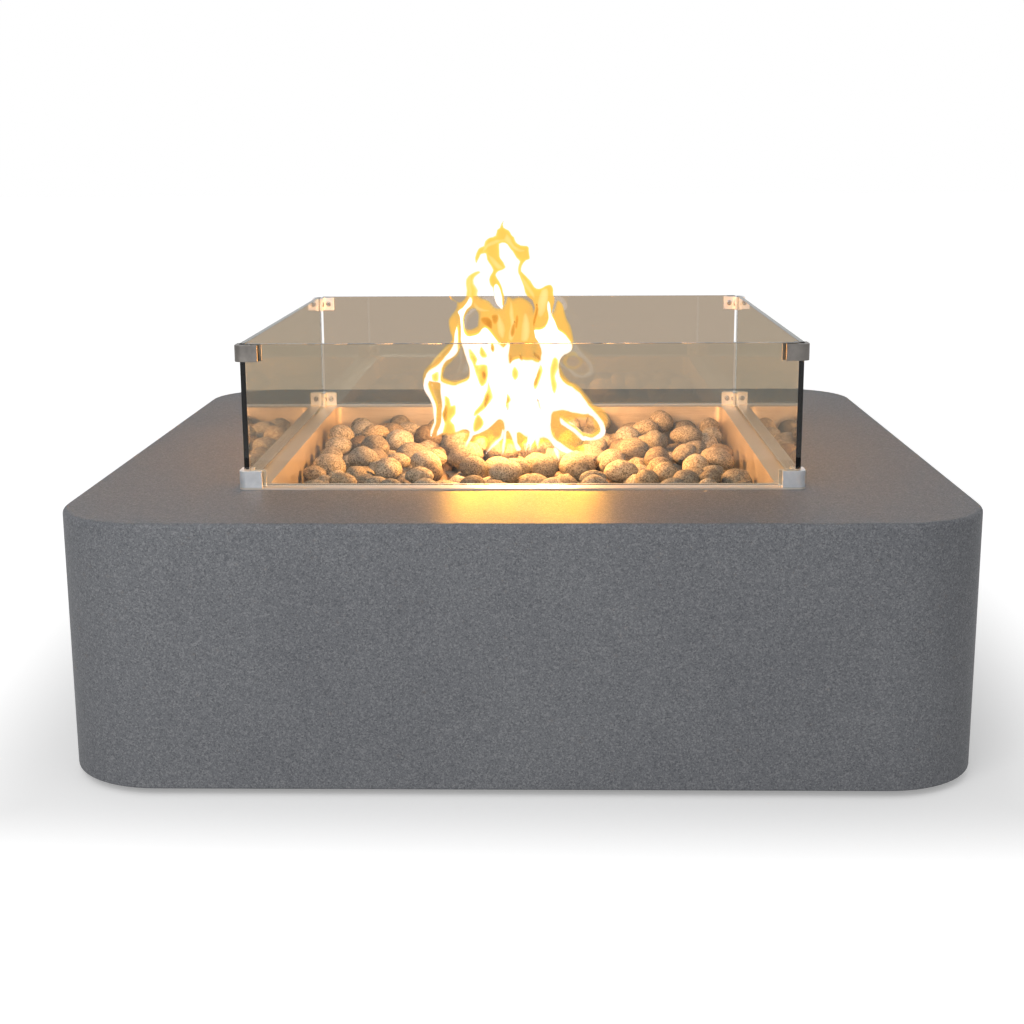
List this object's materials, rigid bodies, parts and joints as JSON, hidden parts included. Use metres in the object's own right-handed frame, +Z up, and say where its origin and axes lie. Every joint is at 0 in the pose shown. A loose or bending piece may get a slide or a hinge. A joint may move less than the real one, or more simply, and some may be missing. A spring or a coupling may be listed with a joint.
{
  "type": "gas fire pit table",
  "caption": "Low square cast-concrete gas fire table with a drop-in pebble burner and a lift-off glass wind guard on corner clips",
  "frame": {"origin": "middle of the square footprint, on the surface that the feet stand on", "axes": "+Z up, +X to the right seen from the front, the front at -Y and the control recess in the back wall at +Y"},
  "size_m": [1.067, 1.067, 0.497],
  "materials": {
    "cast_concrete": "fine cast grey concrete, sealed matt, faint mottle",
    "pan_steel": "brushed stainless sheet, warm from the flame",
    "burner_steel": "stainless tube, heat tinted",
    "pipe_steel": "black pipe",
    "brass_fittings": "turned brass",
    "cast_mixer": "as cast",
    "zinc_steel": "bright zinc plate",
    "aluminium_line": "drawn tube",
    "chrome_nut": "bright plate",
    "bezel_steel": "satin stainless",
    "black_knob": "black phenolic",
    "recess_steel": "satin stainless sheet",
    "steel_screws": "stainless",
    "black_housing": "black nylon",
    "black_button": "black nylon, polished by use",
    "battery_case": "plain sleeve",
    "copper_probe": "copper, dull",
    "white_ceramic": "white alumina",
    "lead_silicone": "silicone sleeve",
    "foot_rubber": "moulded rubber",
    "lava_stone": "worn porous lava pebble, grey to tan",
    "clear_silicone": "clear silicone",
    "clip_metal": "satin nickel over a metal casting",
    "tempered_glass": "tempered float glass, light bronze tint"
  },
  "bodies": {
    "wind_guard": {"glass_front": "tempered_glass", "glass_right": "tempered_glass", "glass_back": "tempered_glass", "glass_left": "tempered_glass", "top_clip_front_left": "clip_metal", "top_clip_front_right": "clip_metal", "top_clip_back_right": "clip_metal", "top_clip_back_left": "clip_metal", "bottom_clip_front_left": "clip_metal", "bottom_clip_front_right": "clip_metal", "bottom_clip_back_right": "clip_metal", "bottom_clip_back_left": "clip_metal", "clip_screws": "steel_screws", "clip_pads": "clear_silicone"},
    "stem_push": {"stem_cup": "brass_fittings"},
    "knob": {"gas_knob": "black_knob", "valve_stem": "brass_fittings"},
    "igniter_press": {"igniter_button": "black_button"},
    "shutter": {"air_shutter": "zinc_steel"},
    "stud_front_left": {"foot_stud_front_left": "zinc_steel"},
    "pad_front_left": {"foot_pad_front_left": "foot_rubber"},
    "stud_front_right": {"foot_stud_front_right": "zinc_steel"},
    "pad_front_right": {"foot_pad_front_right": "foot_rubber"},
    "stud_back_right": {"foot_stud_back_right": "zinc_steel"},
    "pad_back_right": {"foot_pad_back_right": "foot_rubber"},
    "stud_back_left": {"foot_stud_back_left": "zinc_steel"},
    "pad_back_left": {"foot_pad_back_left": "foot_rubber"},
    "table": {"air_mixer": "cast_mixer", "body_shell": "cast_concrete", "burner": "burner_steel", "burner_pan": "pan_steel", "burner_pipe": "pipe_steel", "control_recess": "recess_steel", "electrode_insulator": "white_ceramic", "flare_nuts": "brass_fittings", "foot_inserts": "zinc_steel", "gas_orifice": "brass_fittings", "gas_valve": "brass_fittings", "igniter_battery": "battery_case", "igniter_housing": "black_housing", "igniter_lead": "lead_silicone", "igniter_nut": "black_housing", "inlet_fitting": "brass_fittings", "inlet_locknut": "brass_fittings", "knob_bezel": "bezel_steel", "lava_stones": "lava_stone", "main_gas_line": "aluminium_line", "orifice_elbow": "brass_fittings", "pan_locknuts": "brass_fittings", "recess_screws": "steel_screws", "sensor_bracket": "bezel_steel", "spark_electrode": "steel_screws", "supply_line": "aluminium_line", "thermocouple": "copper_probe", "thermocouple_lead": "copper_probe", "valve_nut": "chrome_nut", "vent_left": "recess_steel", "vent_right": "recess_steel", "vent_screws": "steel_screws"}
  },
  "joints": [
    {"name": "guard_lift", "type": "slide", "parent": "table", "child": "wind_guard", "axis": [0, 0, 1], "range_m": [0, 0.3]},
    {"name": "knob_push", "type": "slide", "parent": "table", "child": "stem_push", "axis": [0, -1, 0], "range_m": [0, 0.004], "stiffness_N_per_m": 600, "springref_m": -0.01},
    {"name": "knob_turn", "type": "hinge", "parent": "stem_push", "child": "knob", "pos_m": [-0.038, 0.5, 0.165], "axis": [0, 1, 0], "range_deg": [0, 90]},
    {"name": "igniter_push", "type": "slide", "parent": "table", "child": "igniter_press", "axis": [0, -1, 0], "range_m": [0, 0.004], "stiffness_N_per_m": 500, "springref_m": -0.01},
    {"name": "air_shutter_turn", "type": "hinge", "parent": "table", "child": "shutter", "pos_m": [0, 0, 0.18], "axis": [0, 0, 1], "range_deg": [0, 70]},
    {"name": "foot_height_front_left", "type": "slide", "parent": "table", "child": "pad_front_left", "axis": [0, 0, -1], "range_m": [0, 0.015]},
    {"name": "stud_turn_front_left", "type": "hinge", "parent": "pad_front_left", "child": "stud_front_left", "pos_m": [-0.44, -0.44, 0.02], "axis": [0, 0, 1], "range_deg": [0, 3600]},
    {"name": "foot_height_front_right", "type": "slide", "parent": "table", "child": "pad_front_right", "axis": [0, 0, -1], "range_m": [0, 0.015]},
    {"name": "stud_turn_front_right", "type": "hinge", "parent": "pad_front_right", "child": "stud_front_right", "pos_m": [0.44, -0.44, 0.02], "axis": [0, 0, 1], "range_deg": [0, 3600]},
    {"name": "foot_height_back_right", "type": "slide", "parent": "table", "child": "pad_back_right", "axis": [0, 0, -1], "range_m": [0, 0.015]},
    {"name": "stud_turn_back_right", "type": "hinge", "parent": "pad_back_right", "child": "stud_back_right", "pos_m": [0.44, 0.44, 0.02], "axis": [0, 0, 1], "range_deg": [0, 3600]},
    {"name": "foot_height_back_left", "type": "slide", "parent": "table", "child": "pad_back_left", "axis": [0, 0, -1], "range_m": [0, 0.015]},
    {"name": "stud_turn_back_left", "type": "hinge", "parent": "pad_back_left", "child": "stud_back_left", "pos_m": [-0.44, 0.44, 0.02], "axis": [0, 0, 1], "range_deg": [0, 3600]}
  ],
  "couplings": [
    {"joint": "stud_turn_front_left", "follows": "foot_height_front_left", "rad_per_m": 4188.8},
    {"joint": "stud_turn_front_right", "follows": "foot_height_front_right", "rad_per_m": 4188.8},
    {"joint": "stud_turn_back_right", "follows": "foot_height_back_right", "rad_per_m": 4188.8},
    {"joint": "stud_turn_back_left", "follows": "foot_height_back_left", "rad_per_m": 4188.8}
  ]
}
